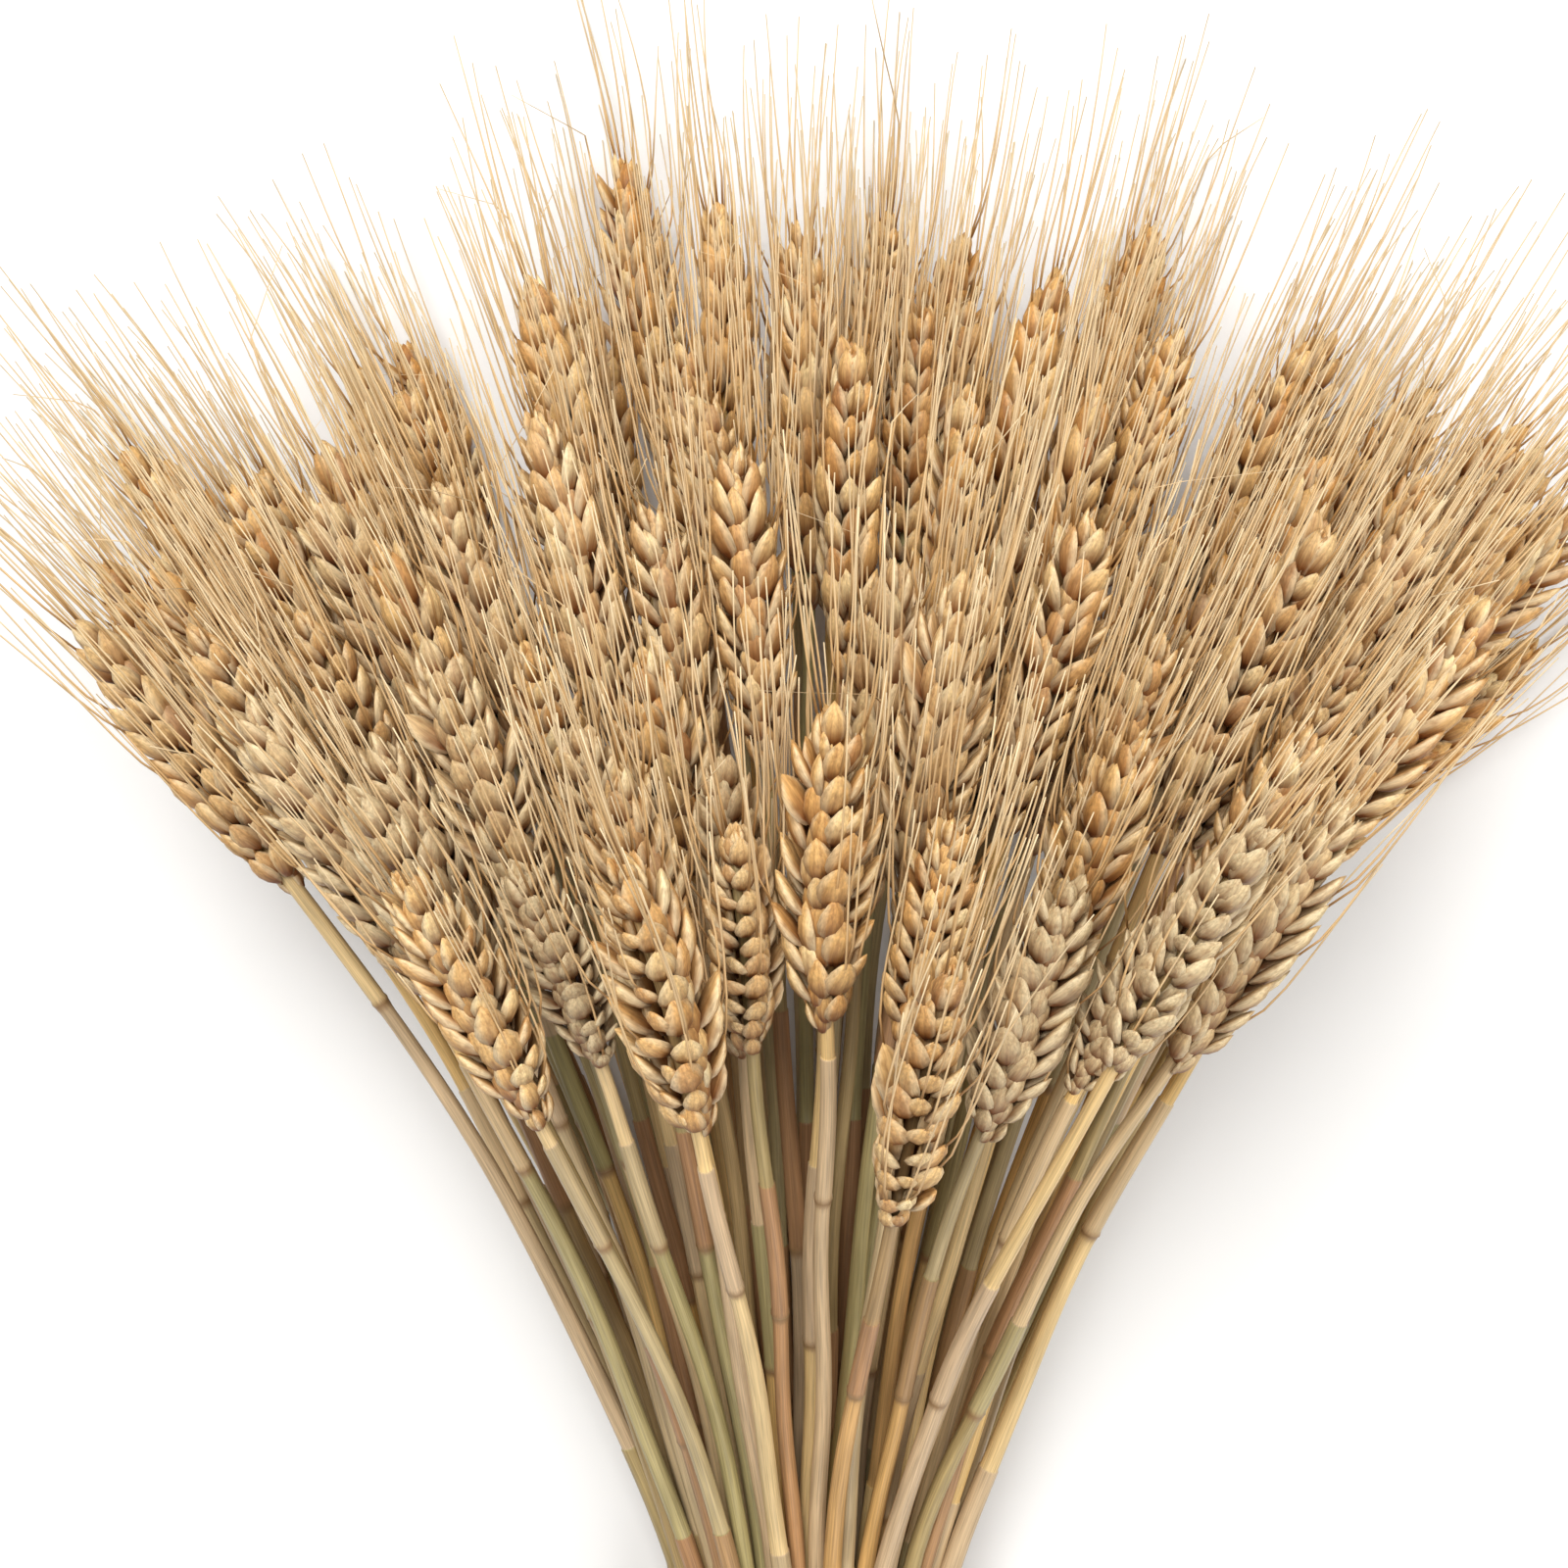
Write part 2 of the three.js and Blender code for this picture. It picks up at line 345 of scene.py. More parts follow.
def straw(length, foot_radius, end, chance):
    """A straight straw along +Y, up to its ear, with its rachis running on inside the ear."""
    joints = [chance.uniform(*shares) * length for shares in JOINT_PLACES]
    tones = [chance.random() for piece in range(len(joints) + 1)]
    sheath_ends = [joint + chance.uniform(*SHEATH_LENGTHS) * length for joint in joints]

    # Where the straw gets a ring: at even steps, and closer round each joint and torn sheath
    rings = set(np.linspace(0, length, int(length / STRAW_STEP) + 2))
    for joint in joints:
        rings.update(joint + JOINT_LENGTH * off for off in JOINT_RINGS)
    for torn in sheath_ends:
        rings.update(torn + off for off in TORN_EDGE)
    rings.update((end * 0.5 + length * 0.5, end))
    rings = sorted(rings)

    def radius(at):
        wide = np.interp(at, [0, 0.45 * length, length, end],
                         [foot_radius, foot_radius * 0.93, NECK_RADIUS, RACHIS_RADIUS])
        for joint, torn in zip(joints, sheath_ends):
            off = (at - joint) / JOINT_LENGTH
            groove = JOINT_GROOVE * math.exp(-30 * (off - 0.7) ** 2)
            wide += JOINT_SWELL * math.exp(-4 * off * off) - groove
            if joint < at <= torn:
                wide += SHEATH_THICKNESS
        return wide

    bm = new_plant()
    place, tone, along = (bm.verts.layers.float_vector["grain"], bm.verts.layers.float["tone"],
                          bm.verts.layers.float["along"])
    bmesh.ops.create_cone(bm, cap_ends=True, segments=STRAW_SIDES, radius1=1, radius2=1, depth=1)
    lengthwise = [edge for edge in bm.edges if abs(edge.verts[0].co.z - edge.verts[1].co.z) > 0.5]
    bmesh.ops.subdivide_edges(bm, edges=lengthwise, cuts=len(rings) - 2, use_grid_fill=True)
    shift = Vector((chance.random(), chance.random(), chance.random()))
    for vert in bm.verts:
        at = rings[round((vert.co.z + 0.5) * (len(rings) - 1))]
        wide = radius(at)
        vert.co = Vector((vert.co.x * wide, at, -vert.co.y * wide))
        vert[place] = vert.co + shift
        piece = sum(at > joint for joint in joints)
        in_sheath = any(joint < at <= torn for joint, torn in zip(joints, sheath_ends))
        vert[tone] = min(max(tones[piece] - SHEATH_DULLER * in_sheath, 0), 1)
        vert[along] = max(math.exp(-6 * ((at - joint) / JOINT_LENGTH) ** 2) for joint in joints)

    # The hollow at the cut end
    cut = min((face for face in bm.faces if len(face.verts) == STRAW_SIDES),
              key=lambda face: face.calc_center_median().y)
    bmesh.ops.inset_individual(bm, faces=[cut], thickness=foot_radius * (1 - BORE_SHARE))
    bore = bmesh.ops.extrude_discrete_faces(bm, faces=[cut])["faces"]
    bmesh.ops.translate(bm, vec=(0, BORE_DEPTH, 0), verts=bore[0].verts)
    # Painted shade: the bottom of the hollow takes the dark joint colour, so the hollow darkens deeper
    # in.
    for vert in bore[0].verts:
        vert[along] = 1
    bmesh.ops.recalc_face_normals(bm, faces=bm.faces)
    return bm


# ---- Ears ---------------------------------------------------------------------------------------
# An ear is a zigzag rachis with about twenty spikelets, turned to one side and the other in turn.
# A spikelet is a fan of five dry husks over its grains: two outer glumes and three lemmas.
EAR_LENGTH = 66 * MM
HUSK_LENGTH, HUSK_WIDTH, HUSK_DEPTH = 10.8 * MM, 5.5 * MM, 3.4 * MM
HUSK_CURL = 1.1 * MM  # of its tip, inwards
BEAK = 0.9 * MM
SPIKELETS = 20
EAR_PATTERNS = 8
# Along the ear, from its base to its tip
EAR_PLACES = (0, 0.1, 0.3, 0.7, 0.9, 1)
HUSK_SIZES = (0.6, 0.82, 1, 0.97, 0.84, 0.66)
HUSK_LEANS = (0.8, 1.0, 1.06, 0.98, 0.7, 0.3)
# Each husk of a spikelet: degrees round the ear, degrees it leans out, millimetres from the
# middle, millimetres further up, size, whether it bears an awn
SPIKELET = (
    (72, 11, 2.1, -0.8, 0.95, False),
    (-72, 11, 2.1, -0.8, 0.95, False),
    (38, 30, 2.8, 0.5, 1.04, True),
    (-38, 30, 2.8, 0.5, 1.04, True),
    (0, 37, 2.7, 2.4, 0.86, True),
)
# How far a husk is off those: degrees round, degrees out, degrees on its own axis, then its size
HUSKS_OFF = (6, 4.5, 14)
HUSK_SHARES = (0.84, 1.1)
AWN_ROOT = Vector((0, HUSK_LENGTH * 0.97, -0.85 * MM))  # where an awn leaves its husk
HUSK_TONE, TONES_OFF = 0.52, 0.2  # the middle of the husks' tones, and their spread round it
HUSK_COLOURS = ((0.0, "#B0743A"), (0.35, "#D69C50"), (0.7, "#E9BC76"), (1.0, "#F8DCA2"))
HUSK_GREY = "#CDB890"
# Painted shade: the deep brown that darkens the base of each husk, where it sits in among the others.
# The lines beside the keel take the same brown.
HUSK_SHADE_BROWN = "#6E370A"
HUSK_EDGE = "#F0DDB4"
BLOTCH_COLOUR = "#8C5D30"
KEEL_LINE = 0.3  # of the way from the keel to the edge
VEIN_WIDTH, VEIN_LENGTH = 0.35, 6  # millimetres
BLOTCH_WIDTH, BLOTCH_LENGTH = 1.3, 2.4  # millimetres


def dry_husk():
    """Dry wheat chaff: a papery, faintly veined husk, pale at its tip, with painted shade darkening
    its base to deep brown where it sits in among the other husks.
    """
    made = material("dry_husk")
    tree = made.node_tree
    weathered = mixed(tree, attribute(tree, "weathered", "Fac"), ramp(tree, "tone", HUSK_COLOURS),
                      linear(HUSK_GREY))
    # Painted shade: each husk darkened to deep brown from its base, where it sits in among the others,
    # fading out before its tip.
    foot_shade = ranged(tree, attribute(tree, "along", "Fac"), (0.2, 0.78), (0.95, 0.0))
    foot_shaded = mixed(tree, foot_shade, weathered, linear(HUSK_SHADE_BROWN))

    # Bleached papery edges, and a brown line on either side of the keel
    away = node(tree, "Math", {0: attribute(tree, "aside", "Fac")}, operation="ABSOLUTE")
    edge = ranged(tree, away.outputs["Value"], (0.55, 1.0), (0.0, 0.6))
    edged = mixed(tree, edge, foot_shaded, linear(HUSK_EDGE))
    off_line = node(tree, "Math", {0: away.outputs["Value"], 1: KEEL_LINE}, operation="SUBTRACT")
    near_line = node(tree, "Math", {0: off_line.outputs["Value"]}, operation="ABSOLUTE")
    line = ranged(tree, near_line.outputs["Value"], (0.03, 0.16), (0.24, 0.0))
    keeled = mixed(tree, line, edged, linear(HUSK_SHADE_BROWN))

    blotches = ranged(tree, grain(tree, BLOTCH_WIDTH, BLOTCH_LENGTH), (0.5, 0.72), (0.0, 0.5))
    blotched = mixed(tree, blotches, keeled, linear(BLOTCH_COLOUR))
    veins = grain(tree, VEIN_WIDTH, VEIN_LENGTH)
    ridges = node(tree, "Bump", {"Height": veins, "Strength": 0.5, "Distance": 0.2 * MM})
    surface(tree, {
        "Base Color": shaded(tree, blotched, veins, 0.74, 1.14),
        "Roughness": 0.55,
        "Specular IOR Level": 0.4,
        "Normal": ridges.outputs["Normal"],
    })
    return made


def husk():
    """One husk along +Y with its back to +Z: a plump boat with a keel and a beaked tip."""
    bm = new_plant()
    place, along = bm.verts.layers.float_vector["grain"], bm.verts.layers.float["along"]
    aside = bm.verts.layers.float["aside"]
    bmesh.ops.create_uvsphere(bm, u_segments=8, v_segments=6, radius=1)
    bmesh.ops.rotate(bm, verts=bm.verts, matrix=Matrix.Rotation(math.radians(-90), 3, "X"))
    # A sphere's points and faces are made in any order, so they are put in the same one each run
    order = Vector((1, 10, 100))
    bm.verts.sort(key=lambda vert: vert.co.dot(order))
    bm.faces.sort(key=lambda face: face.calc_center_median().dot(order))
    for vert in bm.verts:
        far = (vert.co.y + 1) / 2
        vert[aside] = vert.co.x / max(math.sqrt(1 - vert.co.y ** 2), 0.3)
        plump = 1.0 + 0.05 * far - 0.22 * far ** 3
        keel = 1.1 if vert.co.z > 0.2 and abs(vert.co.x) < 0.1 else 0.95
        hollow = 0.5 if vert.co.z < 0 else 1.0  # the belly is flatter than the back
        vert.co.x *= plump * HUSK_WIDTH / 2
        vert.co.z *= plump * keel * hollow * HUSK_DEPTH / 2
        vert.co.z -= HUSK_CURL * far * far
        vert.co.y = far ** 0.95 * HUSK_LENGTH + (BEAK if far > 0.99 else 0)
        vert[place] = vert.co
        vert[along] = far
    bmesh.ops.recalc_face_normals(bm, faces=bm.faces)
    mesh = bpy.data.meshes.new("husk")
    bm.to_mesh(mesh)
    bm.free()
    return mesh


def add_copy(bm, template):
    """Adds a copy of a template mesh and returns its vertices."""
    start = len(bm.verts)
    bm.from_mesh(template)
    bm.verts.ensure_lookup_table()
    return bm.verts[start:]


def ear_pattern(template, chance):
    """One straight ear along +Y from the origin, and where its awns start and point."""
    bm = new_plant()
    place, tone = bm.verts.layers.float_vector["grain"], bm.verts.layers.float["tone"]
    roots = []
    last = EAR_LENGTH - 0.8 * HUSK_LENGTH  # where the topmost spikelet sits
    for number in range(SPIKELETS):
        far = number / (SPIKELETS - 1)
        size = np.interp(far, EAR_PLACES, HUSK_SIZES)
        opening = np.interp(far, EAR_PLACES, HUSK_LEANS)
        side = 0 if number % 2 else 180
        for turn, lean, out, up, share, awned in SPIKELET:
            turn_off, lean_off, twist = [chance.gauss(0, off) for off in HUSKS_OFF]
            round_ear = math.radians(side + turn + turn_off)
            leaning = math.radians(lean * opening + lean_off)
            scale = size * share * chance.uniform(*HUSK_SHARES)
            matrix = (
                Matrix.Translation((0, last * far + up * MM * size, 0))
                @ Matrix.Rotation(round_ear, 4, "Y")
                @ Matrix.Translation((0, 0, out * MM * size * opening))
                @ Matrix.Rotation(leaning, 4, "X")
                @ Matrix.Rotation(math.radians(twist), 4, "Y")
                @ Matrix.Scale(scale, 4)
            )
            verts = add_copy(bm, template)
            shift = Vector((chance.random(), chance.random(), chance.random()))
            shade = min(max(chance.gauss(HUSK_TONE, TONES_OFF), 0), 1)
            for vert in verts:
                vert[place] = vert[place] + shift
                vert[tone] = shade
            bmesh.ops.transform(bm, matrix=matrix, verts=verts)
            if awned:
                heading = (matrix.to_3x3() @ Vector((0, 1, 0))).normalized()
                roots.append((matrix @ AWN_ROOT, heading))
    mesh = bpy.data.meshes.new("ear_pattern")
    bm.to_mesh(mesh)
    bm.free()
    return mesh, roots


# ---- Awns ---------------------------------------------------------------------------------------
# The long bristle on each lemma of bearded wheat: stiff, dry and as fine as a hair at its tip.
# It leaves the husk at the husk's slant and soon runs nearly along the ear. A few are broken.
AWN_STEPS = 7
AWN_RADIUS, AWN_TIP_RADIUS = 0.27 * MM, 0.13 * MM
AWN_LENGTHS = (38 * MM, 51 * MM)
STUB_SHARE, STUB_LENGTHS = 0.2, (12 * MM, 32 * MM)
AWN_SPREAD = (0, 5)  # degrees from the ear's own direction
AWN_SHARES = (0.35, 0.75)  # of an ear's husks that bear one still have it
AWNS_LOST = 0.5  # by the most weathered ears, as a share of those
AWN_TURN = 0.14  # the share of its length over which it turns
AWN_ASIDE, AWN_BOW = 0.035, 0.03  # how far it heads aside and how far it bows, for its length
BROKEN_SHARE = 0.03
BREAKS = (0.35, 0.8)  # the share of its length at which an awn is broken
UNBROKEN = 2  # past its tip
AWN_STREAK_WIDTH, AWN_STREAK_LENGTH = 0.5, 9  # millimetres
# The first stop is painted shade: the awn darkened to brown where it leaves its husk, in among the
# husks.
AWN_COLOURS_WITH_BASE_SHADE = ((0.0, "#AC7A40"), (0.22, "#D8B17B"), (1.0, "#E8CFA5"))


def dry_awn():
    """A dry awn: pale and glossy like straw, with painted shade darkening it to brown where it leaves
    its husk, in among the husks.
    """
    made = material("dry_awn")
    tree = made.node_tree
    streaks = grain(tree, AWN_STREAK_WIDTH, AWN_STREAK_LENGTH)
    surface(tree, {
        "Base Color": shaded(tree, ramp(tree, "along", AWN_COLOURS_WITH_BASE_SHADE), streaks, 0.8, 1.05),
        "Roughness": 0.45,
        "Specular IOR Level": 0.45,
    })
    return made


def awn():
    """A straight awn of unit length along +Y, three-sided, tapering to its tip."""
    bm = new_plant()
    along = bm.verts.layers.float["along"]
    bmesh.ops.create_cone(bm, cap_ends=True, segments=3, radius1=AWN_RADIUS, radius2=AWN_TIP_RADIUS,
                          depth=1)
    lengthwise = [edge for edge in bm.edges if abs(edge.verts[0].co.z - edge.verts[1].co.z) > 0.5]
    bmesh.ops.subdivide_edges(bm, edges=lengthwise, cuts=AWN_STEPS - 1, use_grid_fill=True)
    bmesh.ops.rotate(bm, verts=bm.verts, matrix=Matrix.Rotation(math.radians(-90), 3, "X"))
    for vert in bm.verts:
        vert.co.y += 0.5
        vert[along] = vert.co.y
    mesh = bpy.data.meshes.new("awn")
    bm.to_mesh(mesh)
    bm.free()
    return mesh


def add_awn(bm, template, root, heading, chance):
    """Adds an awn that leaves its root along heading and turns until it runs nearly along the ear."""
    outward = Vector((root.x, 0, root.z)).normalized()
    spread = math.tan(math.radians(chance.uniform(*AWN_SPREAD)))
    aside = Vector((chance.gauss(0, AWN_ASIDE), 0, chance.gauss(0, AWN_ASIDE)))
    settled = (Vector((0, 1, 0)) + outward * spread + aside).normalized()
    bow = Vector((chance.gauss(0, AWN_BOW), 0, chance.gauss(0, AWN_BOW)))
    length = chance.uniform(*(STUB_LENGTHS if chance.random() < STUB_SHARE else AWN_LENGTHS))
    broken = chance.uniform(*BREAKS) if chance.random() < BROKEN_SHARE else UNBROKEN
    kink = Vector((chance.uniform(-1, 1), chance.uniform(-0.8, -0.2), chance.uniform(-1, 1)))
    place = bm.verts.layers.float_vector["grain"]
    shift = Vector((chance.random(), 0, chance.random()))
    for vert in add_copy(bm, template):
        t = vert.co.y
        turning = (heading - settled) * AWN_TURN * (1 - math.exp(-t / AWN_TURN))
        centre = settled * t + turning + bow * t * t
        if t > broken:
            centre += kink * (t - broken)
        vert[place] = Vector((0, t * length, 0)) + shift
        vert.co = root + centre * length + Vector((vert.co.x, 0, vert.co.z))


# ---- Stalks -------------------------------------------------------------------------------------
# Each stalk grew in one piece: straw, ear and awns. The back ones in the bunch are the golden ones,
# and the front ones are more weathered.
WOBBLE = 0.5 * MM
WOBBLE_LENGTHS = (70 * MM, 130 * MM)
OFF_THE_TABLE = 0.25 * MM
STRAW_SHARES = (0.86, 1.0)  # a straw's thickness, as a share of the CAD stalk's
EAR_SHARES = (0.94, 1.04)  # and the same of its ear
EAR_SUNK = 1 * MM  # how far the ear starts below its place on the straw
RACHIS_SHORTER = 6 * MM  # than the ear
OLDEST = 0.75  # how weathered the front tier is
AGES = (0.2, 1.35)  # how weathered a stalk is, as a share of its tier
TIED_LENGTH = 14 * MM
HALFWAY_SHORTER = (-12 * MM, 16 * MM)  # how much nearer the tie a halfway stalk's ear starts
HALFWAY_SHARES = (1.0, 0.6)  # of the halfway places, at the back and at the front, that hold one
SMALL_EARS = (0.72, 1.0)  # a halfway stalk's ear, as a share of a CAD ear
EAR_SEED, STALK_SEED = 100, 1000

waist = []  # where the skin of each straw is, in x and z, in the length that is tied
husk_mesh, awn_mesh = husk(), awn()
awn_rings = np.rint([vert.co.y * AWN_STEPS for vert in awn_mesh.vertices])
patterns = [ear_pattern(husk_mesh, random.Random(EAR_SEED + k)) for k in range(EAR_PATTERNS)]
plant_materials = [dry_straw(), dry_husk(), dry_awn()]
OF_STRAW, OF_HUSK, OF_AWN = range(len(plant_materials))


def stalk_line(rings, chance):
    """The line of a stalk, with the small waves of a grown straw."""
    line = Line(rings[:, :3])
    for direction in (line.across.copy(), line.above.copy()):
        wave = 2 * math.pi * line.at / chance.uniform(*WOBBLE_LENGTHS) + chance.uniform(0, 6)
        line.points += direction * (WOBBLE * np.sin(wave))[:, None]
    line.finish()
    return line


def finish_faces(bm, first, number):
    """Gives the faces from the first on one of the plant's materials. Returns how many there are."""
    bm.faces.ensure_lookup_table()
    for face in bm.faces[first:]:
        face.material_index = number
        face.smooth = True
    return len(bm.faces)


def bent_mesh(name, bm, line):
    """The mesh of a straight model, and where its points go when it is bent along a line."""
    mesh = bpy.data.meshes.new(name)
    bm.to_mesh(mesh)
    bm.free()
    straight = np.empty(len(mesh.vertices) * 3, np.float32)
    mesh.vertices.foreach_get("co", straight)
    return mesh, line.bend(straight.reshape(-1, 3))


def lay_down(mesh, bent):
    """Moves a mesh's points to where they go, with none of them in the table."""
    bent[:, 2] = np.maximum(bent[:, 2], OFF_THE_TABLE)
    mesh.vertices.foreach_set("co", bent.astype(np.float32).ravel())
    mesh.update()


def build_stalk(name, rings, weathered, shorter, small, chance):
    """A whole stalk along its line. Its ear starts earlier than the CAD ear by shorter, and small
    is its size as a share of that ear's."""
    line = stalk_line(rings, chance)
    radii = rings[:, 3]
    foot_radius = radii[0] * chance.uniform(*STRAW_SHARES)
    # The CAD stalk widens into its ear and narrows again into its awns
    ear_start = line.marks[np.argmax(radii > 1.2 * radii[0]) - 1] - shorter
    thickest = np.argmax(radii)
    ear_end = line.marks[thickest + np.argmax(radii[thickest:] < 0.5 * radii.max())]
    ear_end = ear_start + (ear_end - shorter - ear_start) * small
    bm = straw(ear_start, foot_radius, ear_end - RACHIS_SHORTER, chance)
    straw_faces = finish_faces(bm, 0, OF_STRAW)

    # The ear, turned round its own axis as it happens to lie
    pattern, roots = patterns[chance.randrange(EAR_PATTERNS)]
    long = (ear_end - ear_start) / EAR_LENGTH
    wide = chance.uniform(*EAR_SHARES) * math.sqrt(small)
    placed = (
        Matrix.Translation((0, ear_start - EAR_SUNK, 0))
        @ Matrix.Rotation(chance.uniform(0, 2 * math.pi), 4, "Y")
        @ Matrix.Diagonal((wide, long, wide, 1))
    )
    bmesh.ops.transform(bm, matrix=placed, verts=add_copy(bm, pattern))
    ear_faces = finish_faces(bm, straw_faces, OF_HUSK)

    first_awn = len(bm.verts)
    turned = placed.to_3x3()
    kept = chance.uniform(*AWN_SHARES) * (1 - AWNS_LOST * weathered)
    for root, heading in roots:
        if chance.random() < kept:
            add_awn(bm, awn_mesh, placed @ root, (turned @ heading).normalized(), chance)
    finish_faces(bm, ear_faces, OF_AWN)

    mesh, bent = bent_mesh(name, bm, line)
    # An awn that would go through the table is bent up along it, ring by ring
    awns = bent[first_awn:].reshape(-1, len(awn_rings), 3)
    for ring in range(AWN_STEPS + 1):
        middles = awns[:, awn_rings == ring, 2].mean(axis=1, keepdims=True)
        awns[:, awn_rings == ring, 2] += np.maximum(OFF_THE_TABLE + AWN_RADIUS - middles, 0)
    lay_down(mesh, bent)
    tied = np.abs(bent[:, 1] - tie.y) < TIED_LENGTH / 2
    waist.append(bent[tied][:, (0, 2)])
    age = mesh.attributes.new("weathered", "FLOAT", "POINT")
    age.data.foreach_set("value", np.full(len(mesh.vertices), weathered, np.float32))
    for finish in plant_materials:
        mesh.materials.append(finish)
    piece = show(name, mesh)
    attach(piece, "root")
    return piece


names = list(stalk_rings)
tiers = [int(name.split("_")[1].removeprefix("tier")) for name in names]
top_tier = max(tiers)
for number, (name, tier) in enumerate(zip(names, tiers)):
    chance = random.Random(STALK_SEED + number)
    weathered = OLDEST * (tier - 1) / (top_tier - 1) * chance.uniform(*AGES)
    rings = stalk_rings[name]
    piece = build_stalk(f"wheat_{name}", rings, weathered, 0, 1, chance)
    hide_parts(name)
    share = np.interp(tier, (top_tier / 2, top_tier), HALFWAY_SHARES)
    if tier < top_tier and tiers[number + 1] == tier and chance.random() < share:
        halfway = (rings + stalk_rings[names[number + 1]]) / 2
        shorter = chance.uniform(*HALFWAY_SHORTER)
        small = chance.uniform(*SMALL_EARS)
        build_stalk(f"wheat_{name}_and_half", halfway, weathered, shorter, small, chance)


# ---- Twine --------------------------------------------------------------------------------------
# Jute twine: three plies of long rough fibres laid round each other. It is wound five times round
# the straws and pulled tight, and loose fibres stand off it all along.
TWINE_DIAMETER = 3 * MM
TWINE_PLIES = 3
TWINE_TURNS = 5
TWINE_LAY = 9 * MM  # the length in which a ply goes round once
TWINE_STEP = 1.1 * MM
PLY_SIDES = 7
PLY_TONES = (0.3, 0.8)
TONE_SWING, TONE_PACE = 0.2, 130  # how far and how fast along it a ply's tone comes and goes
WINDING_STEPS = 48  # points in one turn of the winding
HEADINGS = 720  # directions in which the twine's way round the straws is felt out
JUTE_COLOURS = ((0.0, "#8A6238"), (0.5, "#AD8350"), (1.0, "#CBA470"))
JUTE_FIBRE_WIDTH, JUTE_FIBRE_LENGTH = 0.16, 3.5  # millimetres
FIBRE_RADIUS = 0.045 * MM
FIBRE_LENGTHS = (1.2 * MM, 3.6 * MM)
FIBRES_PER_METRE = 420
FIBRE_SLANTS = (20, 75)  # degrees
FIBRE_ROOT = 0.42  # of the twine's diameter, from its middle
WINDING_SEED, KNOT_SEED = 5, 6


def jute():
    """Jute: a dull, coarse bast fibre, brown and straw-coloured by turns, with no gloss."""
    made = material("jute")
    tree = made.node_tree
    fibres = grain(tree, JUTE_FIBRE_WIDTH, JUTE_FIBRE_LENGTH)
    strands = node(tree, "Bump", {"Height": fibres, "Strength": 0.8, "Distance": 0.25 * MM})
    surface(tree, {
        "Base Color": shaded(tree, ramp(tree, "tone", JUTE_COLOURS), fibres, 0.6, 1.2),
        "Roughness": 0.95,
        "Specular IOR Level": 0.2,
        "Sheen Weight": 0.25,
        "Normal": strands.outputs["Normal"],
    })
    return made


def add_ply(bm, length, number, chance):
    """Adds one ply, straight along +Y but already twisted round its two neighbours."""
    # Three round plies that touch each other fill the twine's diameter
    radius = TWINE_DIAMETER / 2 / (1 + 2 / math.sqrt(3))
    off_centre = TWINE_DIAMETER / 2 - radius
    place, tone = bm.verts.layers.float_vector["grain"], bm.verts.layers.float["tone"]
    first = len(bm.verts)
    cone = bmesh.ops.create_cone(bm, cap_ends=True, segments=PLY_SIDES, radius1=radius,
                                 radius2=radius, depth=length)
    lengthwise = {edge for vert in cone["verts"] for edge in vert.link_edges
                  if abs(edge.verts[0].co.z - edge.verts[1].co.z) > length / 2}
    bmesh.ops.subdivide_edges(bm, edges=sorted(lengthwise, key=lambda edge: edge.index),
                              cuts=int(length / TWINE_STEP), use_grid_fill=True)
    bm.verts.ensure_lookup_table()
    start = 2 * math.pi * number / TWINE_PLIES
    shade = chance.uniform(*PLY_TONES)
    for vert in bm.verts[first:]:
        at = vert.co.z + length / 2
        turned = start + 2 * math.pi * at / TWINE_LAY
        vert[place] = Vector((vert.co.x, at, vert.co.y + number))
        vert[tone] = min(max(shade + TONE_SWING * math.sin(at * TONE_PACE + number), 0), 1)
        section = Matrix.Rotation(turned, 2) @ Vector((off_centre + vert.co.x, -vert.co.y))
        vert.co = Vector((section.x, at, section.y))


def add_fibres(bm, length, chance):
    """Adds the loose fibres that stand off a straight twine, at all angles and lengths."""
    tone = bm.verts.layers.float["tone"]
    for count in range(int(length * FIBRES_PER_METRE)):
        at = chance.uniform(0, length)
        first = len(bm.verts)
        depth = chance.uniform(*FIBRE_LENGTHS)
        bmesh.ops.create_cone(bm, cap_ends=True, segments=3, radius1=FIBRE_RADIUS,
                              radius2=FIBRE_RADIUS * 0.5, depth=depth)
        bm.verts.ensure_lookup_table()
        fibre = bm.verts[first:]
        for vert in fibre:
            vert[tone] = 1
        leaning = chance.choice((-1, 1)) * math.radians(chance.uniform(*FIBRE_SLANTS))
        placed = (
            Matrix.Translation((0, at, 0))
            @ Matrix.Rotation(chance.uniform(0, 2 * math.pi), 4, "Y")
            @ Matrix.Translation((0, 0, TWINE_DIAMETER * FIBRE_ROOT))
            @ Matrix.Rotation(leaning, 4, "X")
            @ Matrix.Translation((0, 0, depth / 2))
        )
        bmesh.ops.transform(bm, matrix=placed, verts=fibre)


def build_twine(name, line, chance):
    """A piece of twine along a line, with its loose fibres."""
    bm = new_plant()
    for number in range(TWINE_PLIES):
        add_ply(bm, line.at[-1], number, chance)
    add_fibres(bm, line.at[-1], chance)
    bmesh.ops.recalc_face_normals(bm, faces=bm.faces)
    for face in bm.faces:
        face.smooth = True
    mesh, bent = bent_mesh(name, bm, line)
    lay_down(mesh, bent)
    mesh.materials.append(jute_finish)
    piece = show(name, mesh)
    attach(piece, "root")
    return piece


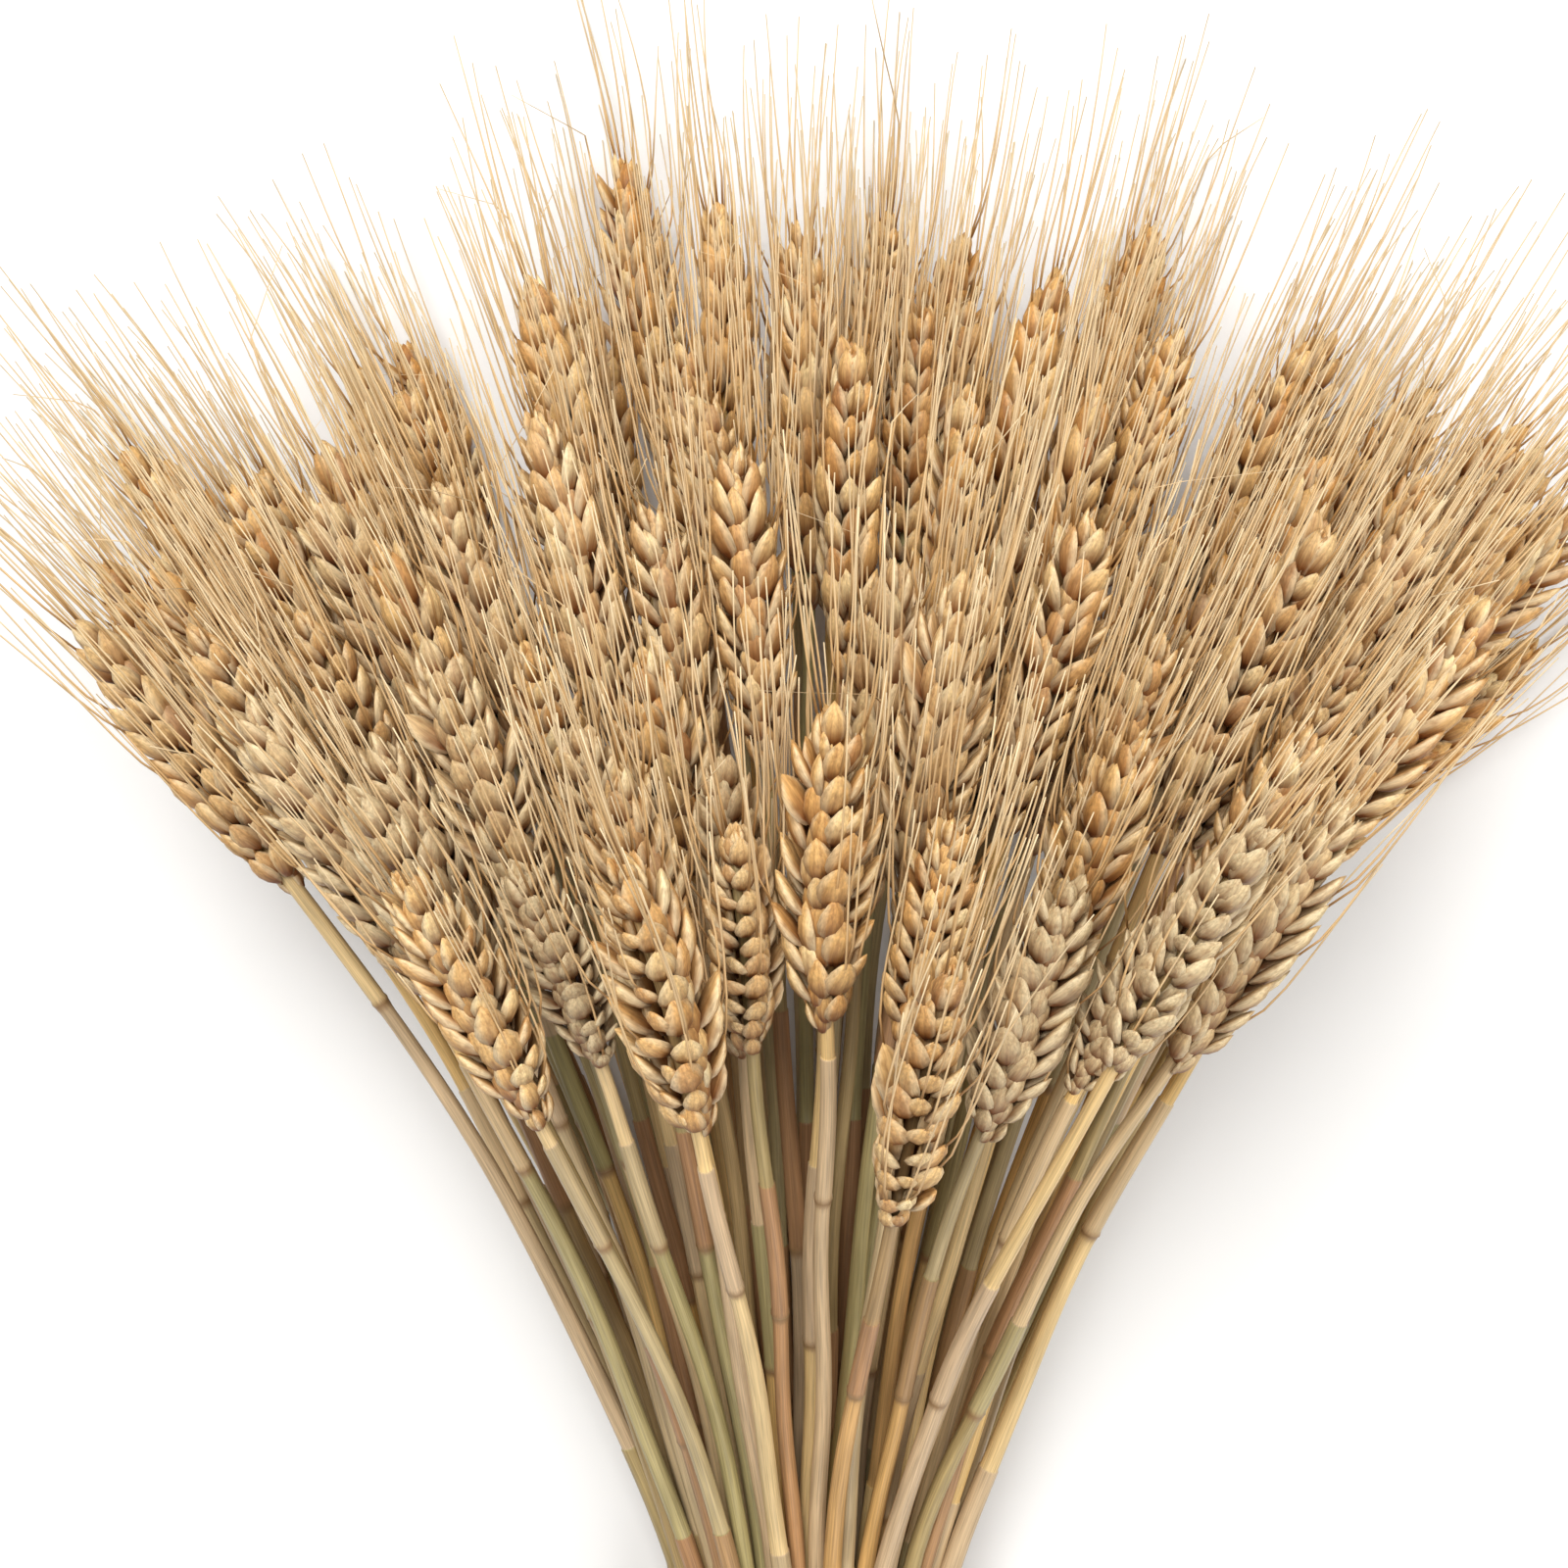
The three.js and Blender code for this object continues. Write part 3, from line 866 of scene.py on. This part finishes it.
def winding_path():
    """The middle of the twine, from under the knot pulled tight round the straws and back to it."""
    skin = np.concatenate(waist)
    headings = math.pi / 2 + np.linspace(0, 2 * math.pi, HEADINGS, endpoint=False)
    out = np.stack([np.cos(headings), np.sin(headings)], axis=1)
    loop = skin[np.argmax(skin @ out.T, axis=0)] + out * TWINE_DIAMETER / 2

    # The same loop in even steps, from under the knot on
    corners = np.concatenate([loop, loop[:1]])
    at = np.concatenate([[0], np.cumsum(np.linalg.norm(np.diff(corners, axis=0), axis=1))])
    even = np.linspace(0, at[-1], HEADINGS, endpoint=False)
    loop = np.stack([np.interp(even, at, corners[:, axis]) for axis in (0, 1)], axis=1)
    under_knot = np.argmin(np.linalg.norm(loop - (tie.x, tie_high.z), axis=1))
    loop = np.roll(loop, -under_knot, axis=0)[::HEADINGS // WINDING_STEPS]
    points = []
    for step in range(WINDING_STEPS * TWINE_TURNS + 1):
        x, z = loop[step % WINDING_STEPS]
        turn = step / WINDING_STEPS
        y = (turn - TWINE_TURNS / 2) * TWINE_DIAMETER * (TWINE_TURNS - 1) / TWINE_TURNS
        points.append(Vector((x, tie.y + y, z)))
    return points


jute_finish = jute()
wound = winding_path()
winding = build_twine("twine_winding", Line(wound, up=Vector((0, 1, 0))),
                      random.Random(WINDING_SEED))
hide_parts("tie_winding")


# ---- Knot ---------------------------------------------------------------------------------------
# The twine's two ends are tied in an overhand knot on top of the winding and trimmed short.
KNOT_REACH = 2.04  # where the knot's curve ends, in its own units
KNOT_STEPS = 40
KNOT_SCALE = Vector((1.75, 1.45, 0.125)) * MM  # one of those units
KNOT_HEIGHT = 3.2 * MM  # its middle, over the middle of the twine that it sits on
TRIMMED_END = (Vector((1.9, 2.3, -0.4)), Vector((1.6, 2.6, -1.4)))  # millimetres, from the knot on


def knot_path(middle):
    """An overhand knot's curve, laid flat, with a short end running on from it on either side."""
    points = []
    for step in range(KNOT_STEPS + 1):
        t = KNOT_REACH * (2 * step / KNOT_STEPS - 1)
        curve = Vector((t ** 3 - 3 * t, t ** 4 - 4 * t * t + 2, t ** 5 - 10 * t))
        points.append(middle + curve * KNOT_SCALE)
    for side, order in ((1, points.append), (-1, lambda point: points.insert(0, point))):
        point = points[-1] if side > 0 else points[0]
        for stride in TRIMMED_END:
            point = point + Vector((side * stride.x, stride.y, stride.z)) * MM
            order(point)
    return points


knot_low, knot_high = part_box("tie_knot")
knot_middle = (knot_low + knot_high) / 2
knot_middle.z = wound[0].z + KNOT_HEIGHT
knot = build_twine("twine_knot", Line(knot_path(knot_middle)), random.Random(KNOT_SEED))
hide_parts("tie_knot")
